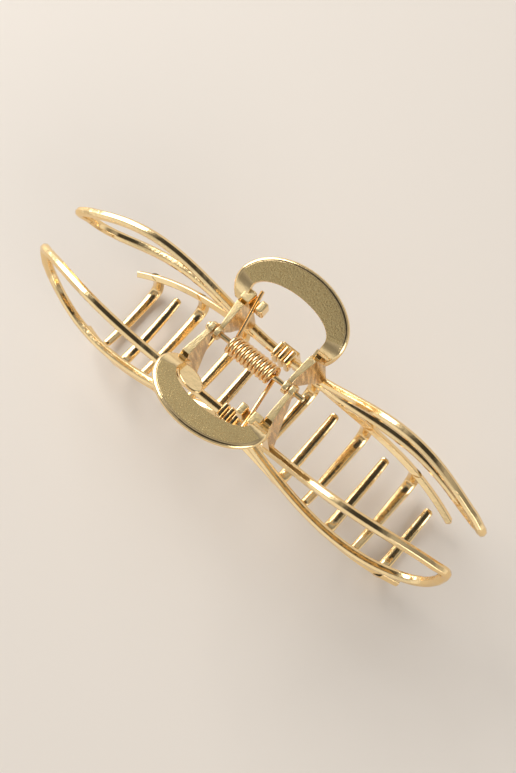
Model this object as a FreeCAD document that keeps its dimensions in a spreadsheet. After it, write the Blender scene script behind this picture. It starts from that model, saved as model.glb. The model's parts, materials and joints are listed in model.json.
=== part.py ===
"""Large metal hair claw clip: two cast jaws on a rivet pin, closed by a torsion spring.

The clip stands on its teeth. +X runs along the hinge pin from the rivet head to the plain
end, the front jaw is on the -Y side and the back jaw on the +Y side. Shapes are worked out
about the hinge axis and lifted by hinge_height, so that z = 0 is the lowest tooth.
"""
import FreeCAD
import Part
import Sketcher
import math
import os

from FreeCAD import Placement, Rotation, Vector

SIZES = {
    # overall
    "hinge_height": 44.828,
    "half_length": 54.5,
    # bars of the loops
    "bar_width": 2.0,
    "bar_height": 2.0,
    "bar_chamfer": 0.5,
    "bar_y": 8.6,
    "bar_z": -16.0,
    "bar_flare": 10.1,
    "bar_close": -25.0,
    "bar_arch": 44.2,
    "bar_fall": -69.9,
    "loop_tip_y": 5.8,
    "loop_tip_z": -15.0,
    "loop_drop": 18.5,
    "loop_bulge": 3.0,
    "loop_fullness": 1.06,
    "loop_widest": 0.69,
    "end_taper": 0.7,
    # comb
    "rail_half_length": 45.2,
    "rail_width": 1.8,
    "rail_height": 1.8,
    "rail_y": 10.1,
    "rail_end_y": 8.7,
    "rail_flare": 8.2,
    "rail_close": -13.2,
    "rail_z": -19.1,
    "rail_end_z": -40.4,
    "rail_fall": 0.95,
    "web_start": 5.0,
    "web_step": 3.2,
    "web_thickness": 1.0,
    "tooth_first": 6.7,
    "tooth_pitch": 6.72,
    "tooth_root": 2.7,
    "tooth_tip": 1.5,
    "tooth_thickness": 1.6,
    "tooth_chamfer": 0.3,
    "tooth_depth": 5.8,
    # finger rings
    "ring_y": 11.4,
    "ring_z": 3.15,
    "ring_rise_deg": 20.5,
    "ring_half_width": 13.3,
    "ring_depth": 9.05,
    "ring_hole_half_width": 9.25,
    "ring_hole_depth": 4.0,
    "ring_hole_shift": -0.6,
    "ring_root": -4.4,
    "ring_thickness": 1.3,
    "ring_heel_step": 0.3,
    # hinge
    "pin_radius": 0.55,
    "pin_clearance": 0.05,
    "pin_head_radius": 0.95,
    "pin_head_length": 0.8,
    "pin_end": 13.0,
    "pin_edge": 0.1,
    "pin_dimple": 0.4,
    "pin_crown": 0.3,
    "ear_radius": 1.45,
    "front_ear_x": 9.7,
    "back_ear_x": 8.15,
    "ear_thickness": 1.2,
    "arm_root_thickness": 2.0,
    "arm_root_y": 9.0,
    "arm_root_step": 0.95,
    "back_arm_step": 0.15,
    # spring
    "wire_radius": 0.44,
    "coil_radius": 1.8,
    "coil_half_length": 5.4,
    "coil_turns": 11,
    "leg_slope_deg": 11.0,
    "leg_lean": 0.19,
    "leg_reach": 12.0,
    # lugs, tab and binder
    "lug_y": 7.9,
    "lug_depth": 2.6,
    "lug_floor": -0.95,
    "binder_half_length": 2.3,
    "tab_thickness": 1.0,
    "tab_x": 6.0,
    "tab_y": -1.2,
    "tab_radius": 2.7,
    "tab_back": 3.0,
    "rib_pitch": 1.5,
    "rib_width": 1.0,
}

doc = FreeCAD.newDocument("claw_clip")
sheet = doc.addObject("Spreadsheet::Sheet", "Sizes")
for row, (alias, value) in enumerate(SIZES.items(), start=1):
    sheet.set(f"A{row}", alias)
    sheet.set(f"B{row}", str(value))
    sheet.setAlias(f"B{row}", alias)
doc.recompute()


def size(alias):
    """A driving dimension from the sheet, in mm or degrees."""
    return float(sheet.get(alias))


LIFT = size("hinge_height")
UP = Vector(0, 0, 1)
ACROSS = Vector(0, 1, 0)
FRONT = -1
BACK = 1

# outlines about the hinge axis: (outwards, up) for the arms, (along the pin, up) for the lugs
ARM_BACK = [(7.0, 1.35), (9.7, 2.2), (9.7, -14.2), (8.4, -14.7)]
EAR_END_DEG = 212
LUG_TOE = [(-9.9, 0.2), (-8.8, -1.2), (-5.7, -1.6), (-4.7, -0.8), (-4.7, 1.5), (-6.2, 1.5)]
LUG_HEEL = [(-7.9, 1.9), (-9.9, 1.9)]
ARM_START = -2.0
ARM_FLARE = 1.5
ARM_FINISH = 12.0
ARM_BLANK_FLOOR = -17.0
ARM_BLANK_HEIGHT = 23.0
TRIM_SHEET = [(-20, -30), (30, -30), (30, 20), (-20, 20)]

# outlines of the binder, (outwards, up) from the bars or from the rail
BINDER_SHOULDER = [(1.2, -2.2), (1.2, 1.2), (-1.2, 1.2), (-1.2, -2.2)]
BINDER_FOOT = [(-1.1, -1.5), (1.1, -1.6)]
BINDER_RIB = [(-1.3, -2.6), (1.3, -2.6), (1.8, -1.8), (1.8, 1.2), (1.2, 1.8), (-1.2, 1.8),
              (-1.8, 1.2), (-1.8, -1.8)]

# a tooth's bend under its rail: (inwards, share of the tooth's depth)
TOOTH_BEND = [(0.2, 0.38), (1.6, 0.76), (4.6, 1.0), (9.5, 1.03)]
TOOTH_ROOT_DROP = 0.45
WEB_SECTIONS = 4
TOOTH_CROSSING = (0.45, 0.95)
TOOTH_END = (1.6, 0.8)
nodes = {}


# ---------------------------------------------------------------- curves of the castings
def even_curve(middle, square_share, fourth_share, end, along):
    """A curve that is the same both ways from the middle, from its middle and end values."""
    square = along * along
    sixth_share = end - middle - square_share - fourth_share
    return middle + square * (square_share + square * (fourth_share + square * sixth_share))


def upper_bar_point(side, end, along):
    """A point on a loop's upper bar: along is 0 at the binder and 1 at the tip."""
    y = even_curve(size("bar_y"), size("bar_flare"), size("bar_close"), size("loop_tip_y"), along)
    z = even_curve(size("bar_z"), size("bar_arch"), size("bar_fall"), size("loop_tip_z"), along)
    return Vector(end * size("half_length") * along, side * y, z)


def lower_bar_point(side, end, turn):
    """A point on a loop's lower bar: turn is 0 at the binder and 1 at the tip."""
    along = 1 - (1 - turn) ** 2
    point = upper_bar_point(side, end, along)
    widest = size("loop_widest")
    swell = (along / widest) ** size("loop_fullness") * (1 - turn) / math.sqrt(1 - widest)
    return point + Vector(0, side * size("loop_bulge") * swell, -size("loop_drop") * swell)


def rail_point(side, along):
    """A point on a comb rail: along runs from -1 at the left end to 1 at the right end."""
    y = even_curve(size("rail_y"), size("rail_flare"), size("rail_close"), size("rail_end_y"), along)
    fall = (size("rail_end_z") - size("rail_z")) * abs(along) ** size("rail_fall")
    return Vector(size("rail_half_length") * along, side * y, size("rail_z") + fall)


# ---------------------------------------------------------------- cast shapes
def bar_section(centre, tangent, across, width, height, chamfer):
    """A chamfered rectangular wire square to the tangent, its width lying along across."""
    tangent = Vector(tangent).normalize()
    wide = (across - tangent * across.dot(tangent)).normalize()
    tall = tangent.cross(wide)
    half_w, half_h = width / 2, height / 2
    corners = []
    for a, b in ((1, 1), (-1, 1), (-1, -1), (1, -1)):
        side_point = (a * half_w, b * (half_h - chamfer))
        top_point = (a * (half_w - chamfer), b * half_h)
        corners += [side_point, top_point] if a * b > 0 else [top_point, side_point]
    points = [centre + wide * u + tall * v for u, v in corners]
    return Part.makePolygon(points + points[:1])


def loft_along(points, across, widths, heights, chamfer, square_to=None):
    """A smooth closed solid through chamfered sections; the first may be square to an axis."""
    sections = []
    last = len(points) - 1
    for i, point in enumerate(points):
        tangent = points[min(i + 1, last)] - points[max(i - 1, 0)]
        if i == 0 and square_to is not None:
            tangent = square_to
        sections.append(bar_section(point, tangent, across, widths[i], heights[i], chamfer))
    return Part.makeLoft(sections, True, False)


def add_feature(label, shape):
    """A cast shape as an object of the document, lifted to its place."""
    feature = doc.addObject("Part::Feature", label)
    feature.Shape = shape
    feature.Placement = Placement(Vector(0, 0, LIFT), Rotation())
    return feature


def upper_bar(label, side, end):
    """The upper bar of one almond loop, from the binder to the rounded tip."""
    steps = 9
    start = size("binder_half_length") / size("half_length")
    points = [upper_bar_point(side, end, start + (1 - start) * i / steps) for i in range(steps + 1)]
    widths = [size("bar_width")] * (steps + 1)
    widths[-1] = size("end_taper") * size("bar_width")
    heights = [size("bar_height")] * (steps + 1)
    shape = loft_along(points, ACROSS, widths, heights, size("bar_chamfer"), Vector(end, 0, 0))
    return add_feature(label, shape)


def lower_bar(label, side, end):
    """The lower bar of one almond loop, which bulges out and down and turns up at the tip."""
    steps = 11
    start = 1 - math.sqrt(1 - size("binder_half_length") / size("half_length"))
    points = [lower_bar_point(side, end, start + (1 - start) * i / steps) for i in range(steps + 1)]
    widths = [size("bar_width")] * (steps + 1)
    heights = [size("bar_height")] * (steps + 1)
    shape = loft_along(points, ACROSS, widths, heights, size("bar_chamfer"), Vector(end, 0, 0))
    return add_feature(label, shape)


def comb_rail(label, side, end):
    """Half of a comb rail, from under the binder to its free end."""
    steps = 8
    start = size("binder_half_length") / size("rail_half_length")
    points = [rail_point(side, end * (start + (1 - start) * i / steps)) for i in range(steps + 1)]
    widths = [size("rail_width")] * (steps + 1)
    heights = [size("rail_height")] * (steps + 1)
    widths[-1] = size("end_taper") * size("rail_width")
    shape = loft_along(points, ACROSS, widths, heights, size("bar_chamfer"), Vector(end, 0, 0))
    return add_feature(label, shape)


def tooth(label, side, x):
    """One tapered tooth: down from the rail, round and under, across to the other jaw."""
    root = rail_point(side, x / size("rail_half_length"))
    depth = size("tooth_depth")
    reach = abs(root.y)
    path = [(reach, -TOOTH_ROOT_DROP)]
    path += [(reach - inwards, -share * depth) for inwards, share in TOOTH_BEND]
    path += [(-TOOTH_CROSSING[0] * reach, -TOOTH_CROSSING[1] * depth),
             (TOOTH_END[0] - reach, -TOOTH_END[1] * depth)]
    points = [Vector(x, side * y, root.z + z) for y, z in path]
    steps = len(points) - 1
    narrowing = 1 - size("tooth_tip") / size("tooth_root")
    taper = [1 - narrowing * i / steps for i in range(steps + 1)]
    widths = [size("tooth_root") * share for share in taper]
    thicknesses = [size("tooth_thickness") * share for share in taper]
    shape = loft_along(points, Vector(1, 0, 0), widths, thicknesses, size("tooth_chamfer"))
    return add_feature(label, shape)


def crotch_web(label, side, end):
    """The thin wall that closes the crotch between a lower bar and the comb rail."""
    edges = []
    for i in range(WEB_SECTIONS):
        x = size("web_start") + size("web_step") * i
        turn = 1 - math.sqrt(1 - x / size("half_length"))
        top = lower_bar_point(side, end, turn)
        bottom = rail_point(side, end * x / size("rail_half_length"))
        edges.append((top, bottom))
    thick = Vector(0, 0.5 * side * size("web_thickness"), 0)
    sections = []
    for top, bottom in edges:
        corners = [top - thick, top + thick, bottom + thick, bottom - thick]
        sections.append(Part.makePolygon(corners + corners[:1]))
    return add_feature(label, Part.makeLoft(sections, True, False))


# ---------------------------------------------------------------- sketched bodies
def new_body(label, height="Sizes.hinge_height"):
    """An empty body whose placement stands at a height that the sheet gives."""
    body = doc.addObject("PartDesign::Body", label)
    body.setExpression("Placement.Base.z", height)
    return body


def origin_plane(body, role):
    """One of a body's own origin planes."""
    return next(item for item in body.Origin.OriginFeatures if item.Role == role)


def new_sketch(body, name, role, offset=None):
    """A sketch on one of the body's origin planes."""
    sketch = body.newObject("Sketcher::SketchObject", name)
    sketch.AttachmentSupport = [(origin_plane(body, role), "")]
    sketch.MapMode = "FlatFace"
    if offset is not None:
        sketch.AttachmentOffset = offset
    return sketch


def draw_polygon(sketch, points):
    """A closed outline of straight lines with its corners joined."""
    first = sketch.GeometryCount
    count = len(points)
    for i, (u, v) in enumerate(points):
        u_next, v_next = points[(i + 1) % count]
        sketch.addGeometry(Part.LineSegment(Vector(u, v, 0), Vector(u_next, v_next, 0)))
    for i in range(count):
        following = first + (i + 1) % count
        sketch.addConstraint(Sketcher.Constraint("Coincident", first + i, 2, following, 1))


def draw_circle(sketch, u, v, alias):
    """A circle whose radius follows a cell of the sheet."""
    circle = Part.Circle(Vector(u, v, 0), Vector(0, 0, 1), size(alias))
    index = sketch.addGeometry(circle)
    number = sketch.addConstraint(Sketcher.Constraint("Radius", index, size(alias)))
    return number


def pad(body, sketch, length, middle=False):
    """A pad of a sketch: length is a number or an expression on the sheet."""
    feature = body.newObject("PartDesign::Pad", sketch.Name + "_pad")
    feature.Profile = sketch
    feature.Midplane = middle
    if isinstance(length, str):
        feature.setExpression("Length", length)
    else:
        feature.Length = length
    return feature


def turned(side):
    """Half a turn about the vertical for the front jaw, none for the back jaw."""
    return Rotation(UP, 180 if side == FRONT else 0)


def finger_ring(label, side):
    """The flat D-shaped band that a finger presses, open towards the hinge."""
    body = new_body(label, "Sizes.hinge_height + Sizes.ring_z")
    sketch = new_sketch(body, label + "_band", "XY_Plane")
    outer_x, outer_y = size("ring_half_width"), size("ring_depth")
    hole_x, hole_y = size("ring_hole_half_width"), size("ring_hole_depth")
    shift, root = size("ring_hole_shift"), size("ring_root")
    start = math.asin(root / outer_y)
    outer = Part.Ellipse(Vector(0, 0, 0), outer_x, outer_y)
    hole = Part.Ellipse(Vector(0, shift, 0), hole_x, hole_y)
    foot_x = outer_x * math.cos(start)
    sketch.addGeometry(Part.ArcOfEllipse(outer, start, math.pi - start))
    sketch.addGeometry(Part.ArcOfEllipse(hole, 0, math.pi))
    for end in (1, -1):
        foot = Vector(end * foot_x, root, 0)
        heel = Vector(end * (hole_x - size("ring_heel_step")), root, 0)
        sketch.addGeometry(Part.LineSegment(foot, heel))
        sketch.addGeometry(Part.LineSegment(heel, Vector(end * hole_x, shift, 0)))
    pad(body, sketch, "Sizes.ring_thickness", middle=True)
    rise = Rotation(Vector(1, 0, 0), size("ring_rise_deg"))
    place = Vector(0, side * size("ring_y"), LIFT + size("ring_z"))
    body.Placement = Placement(place, turned(side).multiply(rise))
    return body


def hinge_arm(label, side, end):
    """A tapered plate from the hinge ear out to the ring's root and down to the bars."""
    body = new_body(label)
    inner = size("front_ear_x") if side == FRONT else size("back_ear_x")
    outer = inner + size("ear_thickness")
    root_y = size("arm_root_y")
    root_outer = outer + size("arm_root_step")
    if side == BACK:
        root_outer += size("back_arm_step")
    root_inner = root_outer - size("arm_root_thickness")
    sign = end * side
    floor = Placement(Vector(0, 0, ARM_BLANK_FLOOR), Rotation())
    wedge = new_sketch(body, label + "_wedge", "XY_Plane", floor)
    plan = [(inner, ARM_START), (outer, ARM_START), (outer, ARM_FLARE), (root_outer, root_y),
            (root_outer, ARM_FINISH), (root_inner, ARM_FINISH), (root_inner, root_y),
            (inner, ARM_FLARE)]
    plan = [(sign * x, y) for x, y in plan]
    draw_polygon(wedge, plan if sign > 0 else plan[::-1])
    pad(body, wedge, ARM_BLANK_HEIGHT)
    doc.recompute()
    outline = new_sketch(body, label + "_outline", "YZ_Plane")
    draw_polygon(outline, TRIM_SHEET)
    ear = size("ear_radius")
    low = math.radians(EAR_END_DEG)
    low_u, low_v = ear * math.cos(low), ear * math.sin(low)
    outline.addGeometry(Part.ArcOfCircle(Part.Circle(Vector(0, 0, 0), Vector(0, 0, 1), ear),
                                         math.pi / 2, low))
    top = [(0, ear)] + ARM_BACK + [(low_u, low_v)]
    for (u, v), (u_next, v_next) in zip(top, top[1:]):
        outline.addGeometry(Part.LineSegment(Vector(u, v, 0), Vector(u_next, v_next, 0)))
    bore = draw_circle(outline, 0, 0, "pin_radius")
    outline.renameConstraint(bore, "bore")
    if side == FRONT:
        outline.setExpression("Constraints.bore", "Sizes.pin_radius")
    else:
        outline.setExpression("Constraints.bore", "Sizes.pin_radius + Sizes.pin_clearance")
    trim = body.newObject("PartDesign::Pocket", label + "_trim")
    trim.Profile = outline
    trim.Type = "ThroughAll"
    trim.Midplane = True
    body.Placement = Placement(Vector(0, 0, LIFT), turned(side))
    return body


def spring_lug(label, side):
    """A slotted block on the ring's inner edge that holds one leg of the spring."""
    body = new_body(label)
    offset = Placement(Vector(0, 0, -size("lug_y") - size("lug_depth")), Rotation())
    sketch = new_sketch(body, label + "_slot", "XZ_Plane", offset)
    floor = size("lug_floor")
    slot = [(LUG_TOE[-1][0], floor), (LUG_HEEL[0][0], floor)]
    draw_polygon(sketch, LUG_TOE + slot + LUG_HEEL)
    pad(body, sketch, "Sizes.lug_depth")
    body.Placement = Placement(Vector(0, 0, LIFT), turned(side))
    return body


def ribbed_binder(label, side):
    """Three ridges cast round the place where the bars of both loops and the rail meet."""
    body = new_body(label)
    half = size("binder_half_length")
    plate = new_sketch(body, label + "_plate", "YZ_Plane", Placement(Vector(0, 0, -half), Rotation()))
    y, z = size("bar_y"), size("bar_z")
    rail_y, rail_z = size("rail_y"), size("rail_z")
    foot = [(rail_y + out, rail_z + up) for out, up in BINDER_FOOT]
    draw_polygon(plate, foot + [(y + out, z + up) for out, up in BINDER_SHOULDER])
    pad(body, plate, "2 * Sizes.binder_half_length")
    doc.recompute()
    first_rib = Placement(Vector(0, 0, -size("rib_pitch") - size("rib_width") / 2), Rotation())
    rib = new_sketch(body, label + "_rib", "YZ_Plane", first_rib)
    draw_polygon(rib, [(y + out, z + up) for out, up in BINDER_RIB])
    first = pad(body, rib, "Sizes.rib_width")
    doc.recompute()
    pattern = body.newObject("PartDesign::LinearPattern", label + "_ribs")
    pattern.Originals = [first]
    pattern.Direction = (origin_plane(body, "YZ_Plane"), [""])
    pattern.Occurrences = 3
    pattern.Length = 2 * size("rib_pitch")
    body.Tip = pattern
    body.Placement = Placement(Vector(0, 0, LIFT), turned(side))
    return body


def thumb_tab(label):
    """The rounded flat tab under the left end of the front ring."""
    body = new_body(label, "Sizes.hinge_height + Sizes.ring_z")
    depth = size("tab_thickness") + size("ring_thickness") / 2
    sketch = new_sketch(body, label + "_face", "XY_Plane", Placement(Vector(0, 0, -depth), Rotation()))
    middle, radius, back = Vector(size("tab_x"), size("tab_y"), 0), size("tab_radius"), size("tab_back")
    rounded = Part.Circle(middle, Vector(0, 0, 1), radius)
    sketch.addGeometry(Part.ArcOfCircle(rounded, math.pi, 2 * math.pi))
    right, left = middle.x + radius, middle.x - radius
    corners = [Vector(right, middle.y, 0), Vector(right, back, 0), Vector(left, back, 0),
               Vector(left, middle.y, 0)]
    for start, finish in zip(corners, corners[1:]):
        sketch.addGeometry(Part.LineSegment(start, finish))
    pad(body, sketch, "Sizes.tab_thickness")
    rise = Rotation(Vector(1, 0, 0), size("ring_rise_deg"))
    place = Vector(0, -size("ring_y"), LIFT + size("ring_z"))
    body.Placement = Placement(place, turned(FRONT).multiply(rise))
    return body


def hinge_pin(label):
    """The rivet pin, with its formed head at the left and a plain end at the right."""
    body = new_body(label)
    sketch = new_sketch(body, label + "_profile", "XZ_Plane")
    ear = size("front_ear_x") + size("ear_thickness")
    radius, head = size("pin_radius"), size("pin_head_radius")
    left = -ear - size("pin_head_length")
    right = size("pin_end")
    edge, dimple, crown = size("pin_edge"), size("pin_dimple"), size("pin_crown")
    draw_polygon(sketch, [(left, 0), (right - dimple, 0), (right, crown), (right, radius - edge),
                          (right - edge, radius), (-ear, radius), (-ear, head),
                          (left + crown, head), (left, head - crown)])
    turn = body.newObject("PartDesign::Revolution", label + "_turned")
    turn.Profile = sketch
    turn.ReferenceAxis = (sketch, ["H_Axis"])
    turn.Angle = 360
    return body


def torsion_spring(label):
    """The close-wound coil round the pin, with a straight leg at each end in a jaw's lug."""
    wire, radius, half = size("wire_radius"), size("coil_radius"), size("coil_half_length")
    slope = size("leg_slope_deg")
    turns = size("coil_turns") + slope / 180
    pitch = 2 * half / turns
    helix = Part.Wire(Part.makeHelix(pitch, 2 * half, radius, 0, True).Edges)
    helix.rotate(Vector(0, 0, 0), Vector(0, 1, 0), 90)
    helix.rotate(Vector(0, 0, 0), Vector(1, 0, 0), slope)
    helix.translate(Vector(-half, 0, 0))
    rise = math.radians(slope)
    drift = pitch / (2 * math.pi * radius)
    leave = Vector(-half, radius * math.sin(rise), -radius * math.cos(rise))
    heading = Vector(-drift, math.cos(rise), math.sin(rise)).normalize()
    leg_heading = Vector(-size("leg_lean"), math.cos(rise), math.sin(rise)).normalize()
    profile = Part.Wire(Part.makeCircle(wire, leave, heading))
    coil = helix.makePipeShell([profile], True, True)
    root = leave - leg_heading * (0.5 * wire)
    length = (size("leg_reach") - root.y) / leg_heading.y
    back_leg = Part.makeCylinder(0.97 * wire, length, root, leg_heading)
    front_leg = back_leg.copy()
    front_leg.rotate(Vector(0, 0, 0), UP, 180)
    return add_feature(label, coil.fuse([back_leg, front_leg]))


def cut_from(label, base, tools):
    """The base less its neighbours, so that cast regions meet face to face."""
    joined = doc.addObject("Part::Compound", label + "_neighbours")
    joined.Links = tools
    cut = doc.addObject("Part::Cut", label)
    cut.Base = base
    cut.Tool = joined
    return cut


def keep(label, item):
    """Name a finished sub-part."""
    item.Label = label
    nodes[label] = item
    return item


def build_jaw(name, side):
    """All the regions of one cast jaw, each cut back to meet its neighbours."""
    ring = keep(name + "_finger_ring", finger_ring(name + "_finger_ring", side))
    uppers, lowers, rails = {}, {}, {}
    for end_name, end in (("left", -1), ("right", 1)):
        label = f"{name}_{end_name}"
        uppers[end] = keep(label + "_upper_bar", upper_bar(label + "_upper_bar", side, end))
        raw_lower = lower_bar(label + "_lower_blank", side, end)
        lowers[end] = keep(label + "_lower_bar",
                           cut_from(label + "_lower_bar", raw_lower, [uppers[end]]))
        rail = comb_rail(label + "_rail_blank", side, end)
        rails[end] = keep(label + "_comb_rail", cut_from(label + "_comb_rail", rail, [lowers[end]]))
        web = crotch_web(label + "_web_blank", side, end)
        keep(label + "_web", cut_from(label + "_web", web, [uppers[end], lowers[end], rails[end]]))
        arm = hinge_arm(label + "_arm_blank", side, end)
        keep(label + "_arm", cut_from(label + "_arm", arm, [ring, uppers[end], lowers[end]]))
    doc.recompute()
    keep(name + "_binder", ribbed_binder(name + "_binder", side))
    lug = spring_lug(name + "_lug_blank", side)
    lug_arm = nodes[name + ("_left_arm" if side == BACK else "_right_arm")]
    keep(name + "_spring_lug", cut_from(name + "_spring_lug", lug, [ring, lug_arm]))
    for i in range(3):
        out = size("tooth_first") + (2 * i + 1) * size("tooth_pitch")
        across = size("tooth_first") + 2 * i * size("tooth_pitch")
        for x in (-side * out, side * across):
            end = 1 if x > 0 else -1
            place = "right" if x > 0 else "left"
            label = f"{name}_{place}_tooth_{i + 1}"
            blank = tooth(label + "_blank", side, x)
            keep(label, cut_from(label, blank, [rails[end]]))


build_jaw("front", FRONT)
build_jaw("back", BACK)
tab = thumb_tab("front_tab_blank")
keep("front_thumb_tab", cut_from("front_thumb_tab", tab,
                                 [nodes["front_finger_ring"], nodes["front_left_arm"]]))
keep("hinge_pin", hinge_pin("hinge_pin"))
keep("torsion_spring", torsion_spring("torsion_spring"))
doc.recompute()

for item in doc.Objects:
    if "Invalid" in item.State or "Error" in item.State:
        raise RuntimeError(f"{item.Name} failed: {item.State}")
os.makedirs("parts", exist_ok=True)
for label, item in nodes.items():
    shape = item.Shape
    if shape.isNull() or not shape.isValid() or len(shape.Solids) != 1:
        raise RuntimeError(f"{label} is not one valid solid")
    shape.exportStep(f"parts/{label}.step")
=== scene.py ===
"""Looks of a large gold-plated metal hair claw clip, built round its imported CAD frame.

Pieces are modelled in millimetres about the hinge axis, with +X along the hinge pin, +Y
towards the back jaw and +Z up. When a piece is done it is brought to metres and lifted to
the hinge. The front jaw's pieces are the back jaw's, copied and given half a turn.
"""
import json
import math

import bpy
from bpy.props import FloatProperty, FloatVectorProperty, PointerProperty
from bpy.types import Operator, Panel, PropertyGroup
from mathutils import Matrix, Vector


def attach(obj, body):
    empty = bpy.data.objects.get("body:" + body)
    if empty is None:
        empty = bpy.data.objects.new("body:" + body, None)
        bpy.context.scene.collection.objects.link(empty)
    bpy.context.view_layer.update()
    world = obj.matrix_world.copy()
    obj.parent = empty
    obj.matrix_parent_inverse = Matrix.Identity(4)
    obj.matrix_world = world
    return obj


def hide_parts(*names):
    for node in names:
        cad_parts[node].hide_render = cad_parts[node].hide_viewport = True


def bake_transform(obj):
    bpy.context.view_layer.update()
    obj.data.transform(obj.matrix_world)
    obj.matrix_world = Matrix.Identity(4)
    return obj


bl_info = {
    "name": "Claw clip",
    "version": (1, 0, 0),
    "blender": (4, 5, 0),
    "location": "View3D > Sidebar > Claw clip",
    "description": "Models and finishes a gold-plated metal hair claw clip",
    "category": "Object",
}

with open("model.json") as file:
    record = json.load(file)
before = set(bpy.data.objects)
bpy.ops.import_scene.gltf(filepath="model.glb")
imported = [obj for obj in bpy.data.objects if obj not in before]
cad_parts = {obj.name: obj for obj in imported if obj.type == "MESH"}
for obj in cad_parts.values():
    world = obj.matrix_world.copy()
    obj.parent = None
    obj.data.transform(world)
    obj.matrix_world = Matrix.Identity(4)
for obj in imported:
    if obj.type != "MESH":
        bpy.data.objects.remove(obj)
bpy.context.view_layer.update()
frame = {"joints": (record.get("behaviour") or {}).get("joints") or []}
HINGE_HEIGHT = frame["joints"][0]["pos_m"][2]
ALONG, ACROSS, UP = Vector((1, 0, 0)), Vector((0, 1, 0)), Vector((0, 0, 1))
ENDS = {"left": -1, "right": 1}
HALF_TURN = Matrix.Rotation(math.pi, 3, "Z")
LOOP_STRETCH = {"left": 1.012, "right": 0.98}

# shapes of the curves that a user would not change
LOWER_BAR_LOWEST = 0.69  # how far along a loop its lower bar hangs lowest
LOWER_BAR_POWER = 1.06
RAIL_FALL_POWER = 0.95
TOOTH_FLATNESS = 0.5  # a tooth's thickness as a share of its width
COIL_TURNS = 11
LEG_SLOPE = math.radians(11)
LEG_LEAN = 0.19


# ---------------------------------------------------------------- sizes and colours
def length(label, default, words):
    """A length in metres with its name and description."""
    return FloatProperty(name=label, description=words, default=default, unit="LENGTH",
                         precision=5)


def degrees(label, default, words):
    """An angle, kept in radians, with its name and description."""
    return FloatProperty(name=label, description=words, default=math.radians(default),
                         unit="ROTATION")


def colour(label, default, words):
    """A linear colour with its name and description."""
    return FloatVectorProperty(name=label, description=words, default=default, subtype="COLOR",
                               size=3, min=0, max=1)


class ClipSizes(PropertyGroup):
    """The sizes of the clip."""

    half_length: length("Half length", 0.0545, "From the middle to the tip of a loop")
    bar: length("Bar", 0.0020, "Width and height of a loop's bar")
    bar_chamfer: length("Bar chamfer", 0.00056, "Chamfer on the long edges of a bar")
    bar_y: length("Bar offset", 0.0086, "From the middle plane to a bar at the binder")
    bar_z: length("Bar depth", -0.016, "From the hinge to a bar at the binder")
    bar_flare: length("Bar flare", 0.0101, "How fast a bar spreads outwards from the binder")
    bar_close: length("Bar close", -0.025, "How fast a bar turns back towards the tip")
    bar_arch: length("Bar arch", 0.0442, "How fast a bar rises from the binder")
    bar_fall: length("Bar fall", -0.0699, "How fast a bar falls towards the tip")
    loop_tip_y: length("Tip offset", 0.0058, "From the middle plane to a loop's tip")
    loop_tip_z: length("Tip depth", -0.015, "From the hinge to a loop's tip")
    loop_drop: length("Loop drop", 0.0185, "How far a lower bar hangs under the upper bar")
    loop_bulge: length("Loop bulge", 0.003, "How far a lower bar stands outside the upper bar")
    rail_half_length: length("Rail half length", 0.0452, "From the middle to a rail's end")
    rail_width: length("Rail width", 0.0018, "Width of a comb rail")
    rail_y: length("Rail offset", 0.0101, "From the middle plane to a rail at the binder")
    rail_end_y: length("Rail end offset", 0.0087, "From the middle plane to the ends of a rail")
    rail_flare: length("Rail flare", 0.0082, "How fast a rail spreads outwards from the binder")
    rail_close: length("Rail close", -0.0132, "How fast a rail turns back towards its ends")
    rail_z: length("Rail depth", -0.0191, "From the hinge to a rail at the binder")
    rail_end_z: length("Rail end depth", -0.0404, "From the hinge to the ends of a rail")
    tooth_first: length("First tooth", 0.0067, "From the middle to the first tooth")
    tooth_pitch: length("Tooth pitch", 0.00672, "From one tooth to the other jaw's next tooth")
    tooth_root: length("Tooth root", 0.0034, "Width of a tooth at its rail")
    tooth_tip: length("Tooth tip", 0.0020, "Width of a tooth at its tip")
    tooth_depth: length("Tooth depth", 0.0058, "How far a tooth drops under its rail")
    ring_y: length("Ring offset", 0.0114, "From the hinge to the middle of a finger ring")
    ring_z: length("Ring height", 0.00315, "From the hinge up to the middle of a finger ring")
    ring_rise: degrees("Ring rise", 20.5, "How steeply a finger ring rises outwards")
    ring_half_width: length("Ring half width", 0.0133, "Half the width of a finger ring")
    ring_depth: length("Ring depth", 0.00905, "From the middle of a finger ring to its outer edge")
    hole_half_width: length("Hole half width", 0.00925, "Half the width of a ring's hole")
    hole_depth: length("Hole depth", 0.0040, "Depth of the curved side of a ring's hole")
    hole_shift: length("Hole shift", -0.0006, "From the ring's middle to the hole's middle")
    ring_root: length("Ring root", -0.0044, "From the ring's middle to its feet")
    ring_thickness: length("Ring thickness", 0.0013, "Thickness of a finger ring")
    pin_radius: length("Pin radius", 0.00055, "Radius of the hinge pin")
    pin_head_radius: length("Pin head radius", 0.00095, "Radius of the rivet head")
    pin_end: length("Pin end", 0.013, "From the middle to the pin's plain end")
    ear_radius: length("Ear radius", 0.00145, "Radius of a hinge ear")
    ear_thickness: length("Ear thickness", 0.0012, "Thickness of a hinge ear")
    front_ear_x: length("Front ear", 0.0097, "From the middle to a front ear's inner face")
    back_ear_x: length("Back ear", 0.00815, "From the middle to a back ear's inner face")
    wire_radius: length("Wire radius", 0.00045, "Radius of the spring's wire")
    coil_radius: length("Coil radius", 0.0018, "From the hinge axis to the middle of the wire")
    coil_half_length: length("Coil half length", 0.0054, "Half the length of the coil")
    leg_reach: length("Leg reach", 0.0118, "From the hinge to the end of a spring leg")


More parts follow.
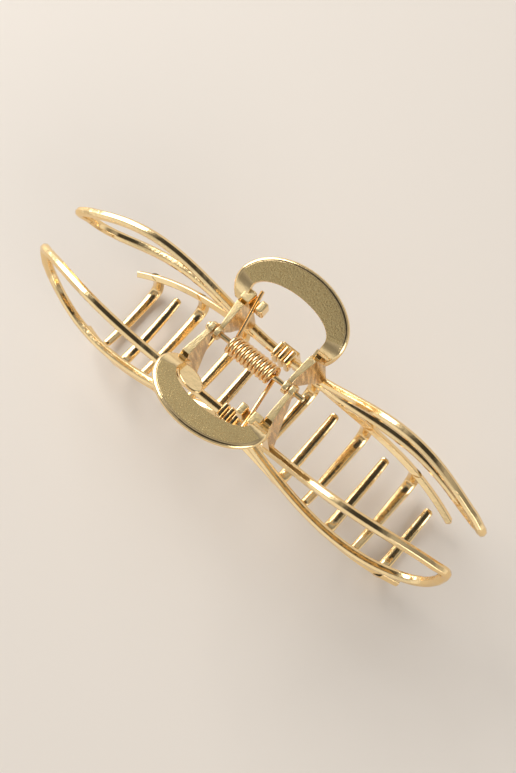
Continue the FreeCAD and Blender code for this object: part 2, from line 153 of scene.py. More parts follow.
class ClipColours(PropertyGroup):
    """The colours of the clip and of the stage."""

    gold: colour("Gold", (0.93, 0.70, 0.37), "The polished gold plating")
    gold_deep: colour("Deep gold", (0.90, 0.65, 0.33), "The warmer patches of the plating")
    pale_gold: colour("Pale gold", (0.90, 0.69, 0.38), "The grainy flats of arms and lugs")
    ring_gold: colour("Ring gold", (1.0, 0.76, 0.36), "The satin upper faces of the rings")
    ring_speck: colour("Ring speck", (0.86, 0.61, 0.27), "The darker specks of the ring faces")
    # painted shade: the arms' side walls are painted this dark to stand for shade and for
    # reflections of nearby parts
    shaded_gold: colour("Shaded gold", (0.50, 0.32, 0.15), "The streaked side walls of the arms")
    wire_gold: colour("Wire gold", (0.87, 0.56, 0.27), "The spring's plated wire")
    floor: colour("Floor", (0.84, 0.76, 0.67), "The pale floor")


def size(name):
    """One of the clip's lengths, in millimetres."""
    return getattr(bpy.context.scene.clip_sizes, name) * 1000


def shade(name):
    """One of the clip's colours, with its alpha."""
    return (*getattr(bpy.context.scene.clip_colours, name), 1.0)


# ---------------------------------------------------------------- shaders
class Reading:
    """A socket of a shader that the signs of arithmetic work on."""

    def __init__(self, shader, socket):
        self.shader = shader
        self.socket = socket

    def __add__(self, other):
        return self.shader.maths("ADD", self, other)

    def __mul__(self, other):
        return self.shader.maths("MULTIPLY", self, other)

    __radd__ = __add__
    __rmul__ = __mul__


class Finish:
    """The nodes of a material or of the world, under construction."""

    def __init__(self, owner, coordinates="Object"):
        owner.use_nodes = True
        self.tree = owner.node_tree
        self.tree.nodes.clear()
        self.place = self.node("ShaderNodeTexCoord", out=coordinates)

    def node(self, kind, settings=None, values=None, out=0):
        """Add a node, set it up, feed its sockets and give one of its outputs."""
        made = self.tree.nodes.new(kind)
        for name, value in (settings or {}).items():
            if name == "stops":
                self.set_stops(made.color_ramp, value)
            else:
                setattr(made, name, value)
        for name, value in (values or {}).items():
            if isinstance(value, Reading):
                self.tree.links.new(value.socket, made.inputs[name])
            else:
                made.inputs[name].default_value = value
        return Reading(self, made.outputs[out]) if made.outputs else made

    @staticmethod
    def set_stops(ramp, stops):
        """Give a colour ramp its stops, as pairs of place and grey level."""
        while len(ramp.elements) < len(stops):
            ramp.elements.new(1.0)
        for element, (place, level) in zip(ramp.elements, stops):
            element.position = place
            element.color = (level, level, level, 1.0)

    def maths(self, operation, first, second):
        """A sum or product of two readings or numbers."""
        return self.node("ShaderNodeMath", {"operation": operation}, {0: first, 1: second})

    def noise(self, scale, detail=3.0, roughness=0.5, stretch=(1, 1, 1)):
        """Cloudy noise of so many cells to a metre, stretched along the axes."""
        where = self.node("ShaderNodeMapping", None, {"Vector": self.place, "Scale": stretch})
        return self.node("ShaderNodeTexNoise", None,
                         {"Vector": where, "Scale": scale, "Detail": detail,
                          "Roughness": roughness})

    def contrast(self, reading, low, high):
        """A reading spread so that low becomes 0 and high becomes 1."""
        return self.node("ShaderNodeMapRange", {"clamp": True},
                         {"Value": reading, "From Min": low, "From Max": high})

    def blend(self, factor, first, second):
        """A colour between two colours."""
        factor_in, first_in, second_in, colour_out = 0, 6, 7, 2
        return self.node("ShaderNodeMix", {"data_type": "RGBA"},
                         {factor_in: factor, first_in: first, second_in: second}, colour_out)

    def bump(self, height, strength, distance):
        """A normal raised by a height."""
        return self.node("ShaderNodeBump", None,
                         {"Height": height, "Strength": strength, "Distance": distance})

    def metal(self, base, roughness, normal, metallic=1.0):
        """The finished surface."""
        surface = self.node("ShaderNodeBsdfPrincipled", None,
                            {"Base Color": base, "Roughness": roughness, "Metallic": metallic,
                             "Normal": normal})
        self.node("ShaderNodeOutputMaterial", None, {"Surface": surface})


def new_finish(name):
    """A new material, ready for its nodes."""
    return Finish(bpy.data.materials.new(name))


def polished_gold():
    """Bright plating with a faint orange peel and cloudy warmth."""
    finish = new_finish("polished_gold")
    clouds = finish.noise(160.0, detail=2.0)
    peel = finish.noise(700.0, detail=2.0)
    fine = finish.noise(4000.0)
    warmth = finish.contrast(clouds, low=0.35, high=0.7)
    base = finish.blend(warmth, shade("gold"), shade("gold_deep"))
    roughness = 0.09 + 0.10 * finish.contrast(peel, low=0.35, high=0.75)
    normal = finish.bump(peel + 0.15 * fine, strength=0.35, distance=0.00012)
    finish.metal(base, roughness, normal)


def satin_gold():
    """The flat ring faces: finely speckled and duller than the rest."""
    finish = new_finish("satin_gold")
    specks = finish.noise(3000.0, roughness=0.6)
    patches = finish.noise(260.0)
    dark = finish.contrast(specks, low=0.40, high=0.62)
    base = finish.blend(dark, shade("ring_gold"), shade("ring_speck"))
    roughness = 0.16 + 0.14 * specks + 0.06 * patches
    normal = finish.bump(specks + 0.4 * patches, strength=0.5, distance=0.00008)
    finish.metal(base, roughness, normal)


def grainy_gold():
    """The small flats of the arms and lugs, rougher than the bars."""
    finish = new_finish("grainy_gold")
    grain = finish.noise(3200.0, roughness=0.6)
    specks = finish.contrast(grain, low=0.4, high=0.62)
    base = finish.blend(specks, shade("pale_gold"), shade("ring_gold"))
    normal = finish.bump(grain, strength=0.6, distance=0.0001)
    finish.metal(base, 0.24 + 0.2 * grain, normal)


def streaked_gold():
    """The side walls of the arms, painted dark in upright streaks: painted shade and painted
    reflection of the nearby parts.
    """
    finish = new_finish("streaked_gold")
    streaks = finish.noise(1500.0, detail=2.0, stretch=(1, 1, 0.12))
    light = finish.contrast(streaks, low=0.38, high=0.66)
    # the streaks run from the painted shade colour to the deep gold
    base = finish.blend(light, shade("shaded_gold"), shade("gold_deep"))
    normal = finish.bump(streaks, strength=0.3, distance=0.0001)
    finish.metal(base, 0.16 + 0.14 * streaks, normal)


def wire_gold():
    """Smooth plated spring wire."""
    finish = new_finish("wire_gold")
    clouds = finish.noise(500.0, detail=2.0)
    base = finish.blend(clouds, shade("wire_gold"), shade("gold_deep"))
    fine = finish.noise(2500.0, detail=2.0)
    normal = finish.bump(fine, strength=0.2, distance=0.00003)
    finish.metal(base, 0.12 + 0.08 * clouds, normal)


def pale_floor():
    """The pale matt floor, very faintly cloudy."""
    finish = new_finish("pale_floor")
    pale = shade("floor")
    dimmer = (*(0.97 * level for level in pale[:3]), 1.0)
    base = finish.blend(finish.noise(3.0, detail=2.0), pale, dimmer)
    normal = finish.bump(finish.noise(900.0, detail=2.0), strength=0.05, distance=0.0001)
    finish.metal(base, 0.6, normal, metallic=0.0)


# ---------------------------------------------------------------- modelling tools
def turn(axes, centre, undo=False):
    """Turn what is selected by a rotation matrix about a point, or turn it back."""
    angles = list(zip("XYZ", axes.to_euler("XYZ")))
    if undo:
        angles = [(axis, -angle) for axis, angle in reversed(angles)]
    for axis, angle in angles:
        bpy.ops.transform.rotate(value=-angle, orient_axis=axis, orient_type="GLOBAL",
                                 center_override=centre)


def axes_at(heading, across):
    """A section's axes: across it, up it and along the heading."""
    heading = heading.normalized()
    wide = (across - heading * across.dot(heading)).normalized()
    tall = heading.cross(wide)
    return Matrix((wide, tall, heading)).transposed()


def along_path(points, across, widths, heights, first=None):
    """Stations of a sweep through points. The first may face a given way."""
    last = len(points) - 1
    stations = []
    for i, point in enumerate(points):
        heading = points[min(i + 1, last)] - points[max(i - 1, 0)]
        if i == 0 and first is not None:
            heading = first
        stations.append((point, axes_at(heading, across), widths[i], heights[i]))
    return stations


def sweep(name, stations, sides=4, chamfer=0.0):
    """Extrude a section through its stations: a chamfered bar, or a round of many sides."""
    bpy.ops.object.select_all(action="DESELECT")
    if sides == 4:
        bpy.ops.mesh.primitive_plane_add(size=1)
    else:
        bpy.ops.mesh.primitive_circle_add(vertices=sides, radius=0.5, fill_type="NGON")
    piece = bpy.context.object
    piece.name = name
    bpy.ops.object.mode_set(mode="EDIT")
    bpy.ops.mesh.select_all(action="SELECT")
    centre, axes, width, height = stations[0]
    bpy.ops.transform.resize(value=(width, height, 1))
    if chamfer > 0:
        bpy.ops.mesh.bevel(offset=chamfer, affect="VERTICES", segments=1)
    turn(axes, (0, 0, 0))
    bpy.ops.transform.translate(value=centre)
    for before, now in zip(stations, stations[1:]):
        bpy.ops.mesh.extrude_region_move(TRANSFORM_OT_translate={"value": now[0] - before[0]})
        turn(before[1], now[0], undo=True)
        bpy.ops.transform.resize(value=(now[2] / before[2], now[3] / before[3], 1),
                                 center_override=now[0])
        turn(now[1], now[0])
    bpy.ops.mesh.select_all(action="SELECT")
    bpy.ops.mesh.normals_make_consistent(inside=False)
    bpy.ops.object.mode_set(mode="OBJECT")
    return piece


def lathe(name, profile, sides=32, hollow=False):
    """A round turned about the X axis from pairs of x and radius; hollow joins its ends."""
    bpy.ops.object.select_all(action="DESELECT")
    fill = "NOTHING" if hollow else "NGON"
    bpy.ops.mesh.primitive_circle_add(vertices=sides, radius=1, fill_type=fill,
                                      rotation=(0, math.pi / 2, 0))
    piece = bpy.context.object
    piece.name = name
    bpy.ops.object.transform_apply(location=True, rotation=True, scale=True)
    bpy.ops.object.mode_set(mode="EDIT")
    bpy.ops.mesh.select_all(action="SELECT")
    x, radius = profile[0]
    bpy.ops.transform.resize(value=(1, radius, radius), center_override=(0, 0, 0))
    bpy.ops.transform.translate(value=(x, 0, 0))
    for (x, radius), (x_next, radius_next) in zip(profile, profile[1:]):
        bpy.ops.mesh.extrude_region_move(TRANSFORM_OT_translate={"value": (x_next - x, 0, 0)})
        grow = radius_next / radius
        bpy.ops.transform.resize(value=(1, grow, grow), center_override=(x_next, 0, 0))
    bpy.ops.mesh.select_all(action="SELECT")
    bpy.ops.mesh.remove_doubles(threshold=0.0005)
    bpy.ops.mesh.normals_make_consistent(inside=False)
    bpy.ops.object.mode_set(mode="OBJECT")
    return piece


def block(name, low, high, bevel, segments=2):
    """A box between two corners, with its edges rounded."""
    bpy.ops.object.select_all(action="DESELECT")
    bpy.ops.mesh.primitive_cube_add(size=1)
    piece = bpy.context.object
    piece.name = name
    bpy.ops.object.mode_set(mode="EDIT")
    bpy.ops.mesh.select_all(action="SELECT")
    bpy.ops.transform.resize(value=Vector(high) - Vector(low))
    bpy.ops.transform.translate(value=(Vector(low) + Vector(high)) / 2)
    bpy.ops.mesh.bevel(offset=bevel, affect="EDGES", segments=segments)
    bpy.ops.object.mode_set(mode="OBJECT")
    return piece


def only(piece):
    """Select one piece and nothing else."""
    bpy.ops.object.select_all(action="DESELECT")
    piece.select_set(True)
    bpy.context.view_layer.objects.active = piece


def join(name, pieces):
    """One piece out of several."""
    only(pieces[0])
    for piece in pieces:
        piece.select_set(True)
    bpy.ops.object.join()
    joined = bpy.context.object
    joined.name = name
    return joined


def soften(piece, width, segments=2, angle=28.0):
    """Round a piece's edges and shade its facets flat and its curves smooth."""
    only(piece)
    bpy.ops.object.modifier_add(type="BEVEL")
    bevel = piece.modifiers[-1]
    bevel.width = width
    bevel.segments = segments
    bevel.limit_method = "ANGLE"
    bevel.angle_limit = math.radians(angle)
    bevel.use_clamp_overlap = True
    bpy.ops.object.modifier_apply(modifier=bevel.name)
    smooth(piece)


def smooth(piece):
    """Shade a piece smooth, weighting its wide facets."""
    only(piece)
    bpy.ops.object.shade_smooth_by_angle(angle=math.radians(50))
    bpy.ops.object.modifier_add(type="WEIGHTED_NORMAL")
    weighted = piece.modifiers[-1]
    weighted.keep_sharp = True
    bpy.ops.object.modifier_apply(modifier=weighted.name)


def place(piece):
    """Bring a piece from millimetres about the hinge to its place in the frame."""
    only(piece)
    piece.scale = (0.001, 0.001, 0.001)
    piece.location = (0, 0, HINGE_HEIGHT)
    bpy.ops.object.transform_apply(location=True, rotation=True, scale=True)


def dress(piece, *flats):
    """Finish the faces that look along a normal: triples of normal, closeness and finish."""
    wear(piece, "polished_gold", *(finish for _, _, finish in flats))
    for face in piece.data.polygons:
        for i, (normal, closeness, _) in enumerate(flats, start=1):
            if face.normal.dot(normal) > closeness:
                face.material_index = i


def tilt(piece, angle):
    """Tilt a piece drawn flat about the ring's middle, and put it at the ring's place."""
    only(piece)
    piece.rotation_euler = (angle, 0, 0)
    piece.location = (0, size("ring_y"), size("ring_z"))
    bpy.ops.object.transform_apply(location=True, rotation=True, scale=True)


def half_turn(piece):
    """Turn a piece half round the vertical, from the back jaw to the front."""
    only(piece)
    piece.rotation_euler = (0, 0, math.pi)
    bpy.ops.object.transform_apply(location=True, rotation=True, scale=True)


def other_jaw(piece, name):
    """A copy with its own mesh, given half a turn about the vertical."""
    only(piece)
    bpy.ops.object.duplicate(linked=False)
    copy = bpy.context.object
    copy.name = name
    half_turn(copy)
    return copy


def wear(piece, *finishes):
    """Give a piece its finishes, in slot order."""
    piece.data.materials.clear()
    for finish in finishes:
        piece.data.materials.append(bpy.data.materials[finish])


def mount(piece, jaw, nodes):
    """Make a piece ride on its jaw in place of the CAD nodes that it stands for."""
    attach(piece, jaw)
    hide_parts(*nodes)


def both_jaws(piece, part, nodes, dressed=False):
    """Place a back jaw piece and its turned copy for the front jaw, polished unless dressed."""
    copy = other_jaw(piece, "front_" + part)
    piece.name = "back_" + part
    for item, side in ((piece, "back"), (copy, "front")):
        place(item)
        if not dressed:
            wear(item, "polished_gold")
        mount(item, side + "_jaw", [side + "_" + node for node in nodes])


# ---------------------------------------------------------------- curves of the castings
def even_curve(middle, square_share, fourth_share, end, along):
    """A curve that is the same both ways from the middle, from its middle and end values."""
    square = along * along
    sixth_share = end - middle - square_share - fourth_share
    return middle + square * (square_share + square * (fourth_share + square * sixth_share))


def upper_bar_point(end, along):
    """A point on a loop's upper bar: along is 0 at the binder and 1 at the tip."""
    y = even_curve(size("bar_y"), size("bar_flare"), size("bar_close"), size("loop_tip_y"), along)
    z = even_curve(size("bar_z"), size("bar_arch"), size("bar_fall"), size("loop_tip_z"), along)
    return Vector((end * size("half_length") * along, y, z))


def lower_bar_point(end, turned):
    """A point on a loop's lower bar: turned is 0 at the binder and 1 at the tip."""
    along = 1 - (1 - turned) ** 2
    swell = (along / LOWER_BAR_LOWEST) ** LOWER_BAR_POWER * (1 - turned)
    swell /= math.sqrt(1 - LOWER_BAR_LOWEST)
    return upper_bar_point(end, along) + Vector(
        (0, size("loop_bulge") * swell, -size("loop_drop") * swell))


def rail_point(along):
    """A point on a comb rail: along runs from -1 at the left end to 1 at the right end."""
    y = even_curve(size("rail_y"), size("rail_flare"), size("rail_close"), size("rail_end_y"),
                   along)
    fall = (size("rail_end_z") - size("rail_z")) * abs(along) ** RAIL_FALL_POWER
    return Vector((size("rail_half_length") * along, y, size("rail_z") + fall))


def both_ends(*parts):
    """The names that a jaw's nodes have at its left and right ends."""
    return [f"{end}_{part}" for part in parts for end in ENDS]


# ---------------------------------------------------------------- operators
class CLAWCLIP_OT_finishes(Operator):
    """Make the clip's materials"""

    bl_idname = "clawclip.finishes"
    bl_label = "Finishes"

    def execute(self, context):
        for make in (polished_gold, satin_gold, grainy_gold, streaked_gold, wire_gold,
                     pale_floor):
            make()
        return {"FINISHED"}


class CLAWCLIP_OT_loops(Operator):
    """Model the almond-shaped loops at both ends of both jaws"""

    bl_idname = "clawclip.loops"
    bl_label = "Loops"

    def execute(self, context):
        for side in ("back", "front"):
            for name, end in ENDS.items():
                self.loop(side, name, end if side == "back" else -end)
        return {"FINISHED"}

    def loop(self, side, name, end):
        """One loop, swept out along its upper bar, round the tip and back to the binder."""
        bar = size("bar")
        start, run, upper_steps = 0.02, 0.935, 30
        lower_start, lower_steps = 0.9, 36
        upper = [upper_bar_point(end, start + run * i / upper_steps)
                 for i in range(upper_steps + 1)]
        lower = [lower_bar_point(end, lower_start * (1 - i / lower_steps))
                 for i in range(lower_steps)]
        tip = smooth_curve([upper[-2], upper[-1], self.tip(end), lower[0], lower[1]], steps=5)
        path = upper[:-2] + tip + lower[2:]
        for point in path:
            point.x *= LOOP_STRETCH[name]
        count = len(path)
        stations = along_path(path, ACROSS, [bar] * count, [bar] * count, ALONG * end)
        loop = sweep(f"{side}_{name}_loop", stations, chamfer=size("bar_chamfer"))
        soften(loop, 0.09)
        if side == "front":
            half_turn(loop)
        place(loop)
        wear(loop, "polished_gold")
        mount(loop, side + "_jaw", [f"{side}_{name}_upper_bar", f"{side}_{name}_lower_bar"])

    @staticmethod
    def tip(end):
        """The outermost point of a loop, rounder than the corner where its bars would meet."""
        corner = upper_bar_point(end, 1.0)
        return Vector((corner.x + end * 0.1, corner.y - 0.3, corner.z - 0.9))


class CLAWCLIP_OT_combs(Operator):
    """Model the comb rails, their curved teeth and the webs beside the binders"""

    bl_idname = "clawclip.combs"
    bl_label = "Combs"

    def execute(self, context):
        self.rails()
        self.teeth()
        self.webs()
        return {"FINISHED"}

    def rails(self):
        """One bar bowed from end to end, with its ends rounded off."""
        steps = 60
        path = [rail_point(-1 + 2 * i / steps) for i in range(steps + 1)]
        width = [size("rail_width")] * (steps + 1)
        longer, narrower = 1.008, 0.5
        path = [path[0] * longer] + path + [path[-1] * longer]
        width = [narrower * width[0]] + width + [narrower * width[0]]
        stations = along_path(path, ACROSS, width, width, ALONG)
        rail = sweep("rail", stations, chamfer=0.4)
        soften(rail, 0.14)
        both_jaws(rail, "comb_rail", both_ends("comb_rail"))

    def teeth(self):
        """Six tapered teeth that drop from the rail and cross to the other jaw."""
        depth = size("tooth_depth")
        teeth = []
        for i in range(3):
            out = size("tooth_first") + (2 * i + 1) * size("tooth_pitch")
            across = size("tooth_first") + 2 * i * size("tooth_pitch")
            teeth += [self.tooth(x, depth) for x in (-out, across)]
        teeth = join("teeth", teeth)
        smooth(teeth)
        both_jaws(teeth, "teeth", both_ends("tooth_1", "tooth_2", "tooth_3"))

    @staticmethod
    def tooth(x, depth):
        """One tooth, swept round its bend with a rounded tip."""
        root = rail_point(x / size("rail_half_length"))
        reach = root.y
        sunk, tip_cap, tip_share = 0.3, 0.4, 0.55
        # where the tooth passes, across the clip, and how deep as a share of its depth
        bends = ((reach - 0.1, 0.42), (reach - 1.4, 0.86), (reach - 6.0, 0.99),
                 (-0.35 * reach, 0.93), (1.9 - reach, 0.76))
        corners = [Vector((x, reach, root.z + sunk))]
        corners += [Vector((x, y, root.z - share * depth)) for y, share in bends]
        path = smooth_curve(corners, steps=6)
        last = len(path) - 1
        loss = 1 - size("tooth_tip") / size("tooth_root")
        taper = [1 - loss * i / last for i in range(last + 1)]
        path += [path[-1] + (path[-1] - path[-2]).normalized() * tip_cap]
        taper += [taper[-1] * tip_share]
        widths = [size("tooth_root") * share for share in taper]
        heights = [TOOTH_FLATNESS * width for width in widths]
        return sweep("tooth", along_path(path, ALONG, widths, heights, -UP), sides=12)

    def webs(self):
        """Thin walls that close the crotches between the lower bars and the rail."""
        first, step, thickness = 4.6, 1.45, 1.0
        webs = []
        for end in ENDS.values():
            path, heights = [], []
            for i in range(8):
                x = first + step * i
                turned = 1 - math.sqrt(1 - x / size("half_length"))
                top = lower_bar_point(end, turned)
                bottom = rail_point(end * x / size("rail_half_length"))
                path.append((top + bottom) / 2)
                heights.append((top - bottom).length)
            stations = [(point, axes_at(ALONG * end, ACROSS), thickness, height)
                        for point, height in zip(path, heights)]
            webs.append(sweep("web", stations))
        web = join("web", webs)
        soften(web, 0.1)
        both_jaws(web, "webs", both_ends("web"))


def smooth_curve(corners, steps):
    """Points of a smooth curve through corners."""
    points = []
    last = len(corners) - 1
    for i in range(last):
        before, start = corners[max(i - 1, 0)], corners[i]
        finish, after = corners[i + 1], corners[min(i + 2, last)]
        for j in range(steps):
            t = j / steps
            points.append(0.5 * (2 * start + (finish - before) * t
                                 + (2 * before - 5 * start + 4 * finish - after) * t ** 2
                                 + (3 * start - before - 3 * finish + after) * t ** 3))
    return points + [corners[-1]]


class CLAWCLIP_OT_binders(Operator):
    """Model the ribbed binders where the bars of each jaw meet"""

    bl_idname = "clawclip.binders"
    bl_label = "Binders"

    def execute(self, context):
        y, z = size("bar_y"), size("bar_z")
        rail_y, rail_z = size("rail_y"), size("rail_z")
        half, rib_half, rib_pitch = 2.2, 0.69, 1.55
        ribs = [block("core", (-half, y - 1.3, z - 1.6), (half, y + 1.3, z + 1.3), bevel=0.25),
                block("foot", (-half, rail_y - 1.2, rail_z - 1.6), (half, rail_y + 1.1, z),
                      bevel=0.25)]
        for x in (-rib_pitch, 0.0, rib_pitch):
            ribs.append(block("rib", (x - rib_half, y - 1.85, z - 2.7),
                              (x + rib_half, y + 1.85, z + 1.9), bevel=0.5, segments=4))
        binder = join("binder", ribs)
        smooth(binder)
        both_jaws(binder, "binder", ["binder"])
        return {"FINISHED"}


class CLAWCLIP_OT_rings(Operator):
    """Model the finger rings and the front jaw's tab"""

    bl_idname = "clawclip.rings"
    bl_label = "Finger rings"

    def execute(self, context):
        ring = self.ring()
        both_jaws(ring, "finger_ring", ["finger_ring"], dressed=True)
        self.tab()
        return {"FINISHED"}

    def ring(self):
        """A flat band swept between the ring's outline and its hole, then tilted."""
        outer_x, outer_y = size("ring_half_width"), size("ring_depth")
        hole_x, hole_y = size("hole_half_width"), size("hole_depth")
        shift, root = size("hole_shift"), size("ring_root")
        thickness, rise = size("ring_thickness"), bpy.context.scene.clip_sizes.ring_rise
        start = math.asin(root / outer_y)
        steps, lead = 72, 0.11  # each foot takes up this share of the sweep
        foot_spread, foot_bend, foot_drop = 0.3, 5.4, 2.3
        edge, rim_share = 0.75, 0.98
        stations, rim = [], []
        for i in range(steps + 1):
            share = i / steps
            angle = start + (math.pi - 2 * start) * share
            outer = Vector((outer_x * math.cos(angle), outer_y * math.sin(angle), 0))
            if share < lead or share > 1 - lead:
                near = min(share, 1 - share) / lead
                x = hole_x - foot_spread * (1 - near)
                inner = Vector((math.copysign(x, 0.5 - share), root + (shift - root) * near, 0))
            else:
                sweep_angle = math.pi * (share - lead) / (1 - 2 * lead)
                inner = Vector((hole_x * math.cos(sweep_angle),
                                shift + hole_y * math.sin(sweep_angle), 0))
            wide = (outer - inner).normalized()
            outer -= wide * edge
            axes = Matrix((wide, -UP, wide.cross(-UP))).transposed()
            centre = (outer + inner) / 2
            bend = max(0.0, 1 - (centre.y - root) / foot_bend)
            centre.z = -foot_drop * bend * bend
            stations.append((centre, axes, (outer - inner).length, thickness))
            rim.append((outer + UP * centre.z, axes, 2 * edge, thickness * rim_share))
        band = sweep("band", stations)
        soften(band, 0.12, angle=40)
        ring = join("ring", [band, sweep("rim", rim, sides=20)])
        smooth(ring)
        tilt(ring, rise)
        dress(ring, (Vector((0, -math.sin(rise), math.cos(rise))), 0.995, "satin_gold"))
        return ring

    def tab(self):
        """The rounded flat tab beside the front ring's left foot."""
        stretch, swing, middle, thickness = (1.46, 0.78, 1), 24, (6.3, -1.2, -1.5), 0.8
        steeper = 0.2  # than the ring
        bpy.ops.object.select_all(action="DESELECT")
        bpy.ops.mesh.primitive_circle_add(vertices=48, radius=2.6, fill_type="NGON")
        tab = bpy.context.object
        tab.name = "front_thumb_tab"
        bpy.ops.object.mode_set(mode="EDIT")
        bpy.ops.mesh.select_all(action="SELECT")
        bpy.ops.transform.resize(value=stretch)
        bpy.ops.transform.rotate(value=math.radians(swing), orient_axis="Z",
                                 orient_type="GLOBAL", center_override=(0, 0, 0))
        bpy.ops.transform.translate(value=middle)
        bpy.ops.mesh.extrude_region_move(TRANSFORM_OT_translate={"value": (0, 0, thickness)})
        bpy.ops.mesh.select_all(action="SELECT")
        bpy.ops.mesh.normals_make_consistent(inside=False)
        bpy.ops.object.mode_set(mode="OBJECT")
        tilt(tab, bpy.context.scene.clip_sizes.ring_rise + steeper)
        half_turn(tab)
        soften(tab, 0.3, segments=3)
        place(tab)
        wear(tab, "polished_gold")
        mount(tab, "front_jaw", ["front_thumb_tab"])


class CLAWCLIP_OT_arms(Operator):
    """Model the hinge arms with their drilled ears, and the spring lugs"""

    bl_idname = "clawclip.arms"
    bl_label = "Hinge arms"

    def execute(self, context):
        for side in ("back", "front"):
            for end_name, end in ENDS.items():
                self.arm(side, end_name, end)
        lug = self.lug()
        both_jaws(lug, "spring_lug", ["spring_lug"], dressed=True)
        return {"FINISHED"}

    def arm(self, side, end_name, end):
        """A tapered plate from the ear out to the ring's foot and down to the bars."""
        inner = size(side + "_ear_x")
        outer = inner + size("ear_thickness")
        root_outer = outer + (1.1 if side == "back" else 0.95)
        ear_width, root_width = 1.1, 2.0
        ear_middle, root_middle = (inner + outer) / 2, root_outer - root_width / 2
        radius = size("ear_radius")
        sign = end if side == "back" else -end
        # out from the hinge, top, bottom, and share of the way from ear to root
        profile = [(1.0, 1.0, -1.0, 0.0), (2.4, 1.35, -3.8, 0.08), (4.4, 1.3, -6.8, 0.35),
                   (6.4, 1.35, -10.2, 0.62), (7.3, 1.3, -12.0, 0.74), (8.1, 0.5, -13.4, 0.86),
                   (9.6, 1.0, -14.4, 1.0)]
        stations = []
        for y, top, bottom, share in profile:
            width = ear_width + (root_width - ear_width) * share
            middle = ear_middle + (root_middle - ear_middle) * share
            point = Vector((sign * middle, y, (top + bottom) / 2))
            stations.append((point, axes_at(ACROSS, ALONG), width, top - bottom))
        plate = sweep("plate", stations)
        clearance, edge = 0.06, 0.15
        bore = size("pin_radius") + clearance
        ear = lathe("ear", [(-outer, bore), (-outer, radius - edge), (-outer + edge, radius),
                            (-inner - edge, radius), (-inner, radius - edge), (-inner, bore),
                            (-outer, bore)], hollow=True)
        if sign > 0:
            half_turn(ear)
        name = f"{side}_{end_name}_arm"
        arm = join(name, [plate, ear])
        soften(arm, 0.16)
        if side == "front":
            half_turn(arm)
        place(arm)
        # the side walls that face along the pin get the painted shade finish
        dress(arm, (UP, 0.93, "grainy_gold"), (ALONG, 0.85, "streaked_gold"),
              (-ALONG, 0.85, "streaked_gold"))
        mount(arm, side + "_jaw", [name])

    @staticmethod
    def lug():
        """A forked block on the ring's left inner edge, with the leg's slot in its middle."""
        parts = [block("heel", (-10.0, 7.9, -1.2), (-7.8, 10.6, 2.2), 0.2),
                 block("floor", (-8.8, 8.0, -1.6), (-5.0, 10.4, -0.95), 0.25),
                 block("toe", (-6.2, 7.8, -1.4), (-4.5, 10.4, 1.7), 0.45, 3)]
        lug = join("lug", parts)
        smooth(lug)
        dress(lug, (UP, 0.9, "grainy_gold"))
        return lug


class CLAWCLIP_OT_pin(Operator):
    """Model the headed rivet pin of the hinge"""

    bl_idname = "clawclip.pin"
    bl_label = "Hinge pin"

    def execute(self, context):
        radius, head = size("pin_radius"), size("pin_head_radius")
        ear = size("front_ear_x") + size("ear_thickness")
        right = size("pin_end")
        profile = [(-ear - 0.75, 0.35 * head), (-ear - 0.8, 0.62 * head),
                   (-ear - 0.62, 0.88 * head), (-ear - 0.4, head), (-ear - 0.05, head),
                   (-ear, 0.9 * head), (-ear, radius),
                   (right - 0.12, radius), (right, radius - 0.1), (right, 0.6 * radius),
                   (right - 0.25, 0.35 * radius)]
        pin = lathe("hinge_pin", profile)
        soften(pin, 0.05, angle=35)
        place(pin)
        wear(pin, "polished_gold")
        mount(pin, "front_jaw", ["hinge_pin"])
        return {"FINISHED"}


class CLAWCLIP_OT_spring(Operator):
    """Model the torsion spring: a close-wound coil with a leg at each end"""

    bl_idname = "clawclip.spring"
    bl_label = "Torsion spring"

    def execute(self, context):
        radius, half = size("coil_radius"), size("coil_half_length")
        turns = COIL_TURNS + 2 * LEG_SLOPE / (2 * math.pi)
        points_per_turn = 20
        count = round(turns * points_per_turn)
        path = []
        for i in range(count + 1):
            angle = -math.pi / 2 + LEG_SLOPE - 2 * math.pi * turns * i / count
            path.append(Vector((-half + 2 * half * i / count, radius * math.cos(angle),
                                radius * math.sin(angle))))
        reach = size("leg_reach")
        heading = Vector((-LEG_LEAN, math.cos(LEG_SLOPE), math.sin(LEG_SLOPE)))
        back_leg = [path[0] + heading * (reach * share) for share in (1.0, 0.66, 0.33, 0.06)]
        front_leg = [HALF_TURN @ point for point in reversed(back_leg)]
        path = back_leg + path + front_leg
        wire = 2 * size("wire_radius")
        end_share, end_cap = 0.6, 0.15
        widths = [end_share * wire] + [wire] * len(path) + [end_share * wire]
        start = path[0] + heading * end_cap
        path = [start] + path + [HALF_TURN @ start]
        spring = sweep("torsion_spring", along_path(path, ALONG, widths, widths), sides=12)
        smooth(spring)
        place(spring)
        wear(spring, "wire_gold")
        side = 0.92 * half / 1000  # not used: the winding runs the coil's whole length
        -side
        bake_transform(spring)
        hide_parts("torsion_spring")
        return {"FINISHED"}


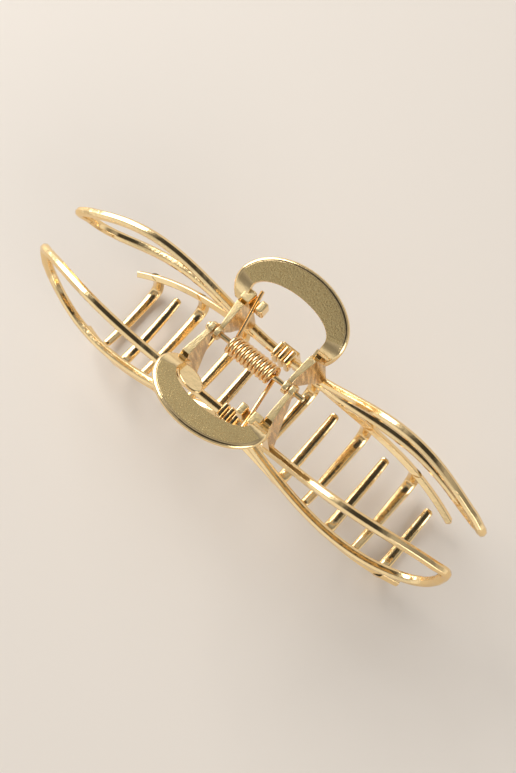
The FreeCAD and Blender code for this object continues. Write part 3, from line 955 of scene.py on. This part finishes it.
class CLAWCLIP_OT_stage(Operator):
    """Make the floor, the soft lights and the camera"""

    bl_idname = "clawclip.stage"
    bl_label = "Stage"

    def execute(self, context):
        self.floor()
        self.world()
        self.light("key", (-0.75, 0.25, 0.55), 0.7, 8.0)
        self.light("fill", (0.8, -0.3, 0.5), 0.6, 3.6)
        self.camera()
        return {"FINISHED"}

    @staticmethod
    def floor():
        """A plain pale floor under the teeth."""
        bpy.ops.object.select_all(action="DESELECT")
        bpy.ops.mesh.primitive_plane_add(size=6.0, location=(0, 0, 0))
        floor = bpy.context.object
        floor.name = "floor"
        wear(floor, "pale_floor")

    @staticmethod
    def world():
        """Soft light by height: a bright horizon, a paler band above it and a dark zenith."""
        world = bpy.data.worlds.new("studio")
        bpy.context.scene.world = world
        studio = Finish(world, coordinates="Generated")
        height = studio.node("ShaderNodeSeparateXYZ", None, {"Vector": studio.place}, "Z")
        stops = [(0.0, 1.0), (0.22, 0.9), (0.45, 0.32), (0.62, 0.26), (0.85, 0.52), (0.93, 0.05)]
        glow = studio.node("ShaderNodeValToRGB", {"stops": stops}, {"Fac": height})
        sky = studio.node("ShaderNodeBackground", None, {"Color": glow, "Strength": 1.0})
        studio.node("ShaderNodeOutputWorld", None, {"Surface": sky})

    @staticmethod
    def light(name, position, width, power):
        """A square soft light that faces the clip."""
        bpy.ops.object.light_add(type="AREA", location=position)
        light = bpy.context.object
        light.name = name
        light.data.size = width
        light.data.energy = power
        facing = Vector(position) - Vector((0, 0, HINGE_HEIGHT / 2))
        light.rotation_euler = facing.to_track_quat("Z", "Y").to_euler()

    @staticmethod
    def camera():
        """A camera high over the front right, turned a little about its own axis."""
        azimuth, elevation, roll = (math.radians(a) for a in (49.86, 70.92, -9.52))
        back = Vector((math.sin(azimuth) * math.cos(elevation),
                       -math.cos(azimuth) * math.cos(elevation), math.sin(elevation)))
        level = Vector((math.cos(azimuth), math.sin(azimuth), 0))
        rise = back.cross(level)
        right = level * math.cos(roll) + rise * math.sin(roll)
        up = rise * math.cos(roll) - level * math.sin(roll)
        sideways, upwards, away = 1.07, -5.18, 275.57
        position = (sideways * right + upwards * up + away * back) / 1000
        axes = Matrix((right, up, back)).transposed().to_4x4()
        bpy.ops.object.camera_add()
        camera = bpy.context.object
        camera.name = "camera"
        camera.matrix_world = Matrix.Translation(position + Vector((0, 0, HINGE_HEIGHT))) @ axes
        camera.data.lens = 66.11
        camera.data.clip_start = 0.01
        bpy.context.scene.camera = camera
        bpy.context.scene.view_settings.view_transform = "Standard"


class CLAWCLIP_PT_panel(Panel):
    """The clip's operators and sizes"""

    bl_label = "Claw clip"
    bl_idname = "CLAWCLIP_PT_panel"
    bl_space_type = "VIEW_3D"
    bl_region_type = "UI"
    bl_category = "Claw clip"

    def draw(self, context):
        for operator in OPERATORS:
            self.layout.operator(operator.bl_idname)
        for group in (context.scene.clip_sizes, context.scene.clip_colours):
            for name in group.__annotations__:
                self.layout.prop(group, name)


OPERATORS = (CLAWCLIP_OT_finishes, CLAWCLIP_OT_loops, CLAWCLIP_OT_combs, CLAWCLIP_OT_binders,
             CLAWCLIP_OT_rings, CLAWCLIP_OT_arms, CLAWCLIP_OT_pin, CLAWCLIP_OT_spring,
             CLAWCLIP_OT_stage)
CLASSES = (ClipSizes, ClipColours, *OPERATORS, CLAWCLIP_PT_panel)


def register():
    """Register the classes and hang the settings on the scene."""
    for item in CLASSES:
        bpy.utils.register_class(item)
    bpy.types.Scene.clip_sizes = PointerProperty(type=ClipSizes)
    bpy.types.Scene.clip_colours = PointerProperty(type=ClipColours)


def unregister():
    """Take the settings and the classes away again."""
    del bpy.types.Scene.clip_colours
    del bpy.types.Scene.clip_sizes
    for item in reversed(CLASSES):
        bpy.utils.unregister_class(item)


def main():
    """Build the clip and its stage."""
    register()
    for operator in OPERATORS:
        category, name = operator.bl_idname.split(".")
        getattr(getattr(bpy.ops, category), name)()


if __name__ == "__main__":
    main()
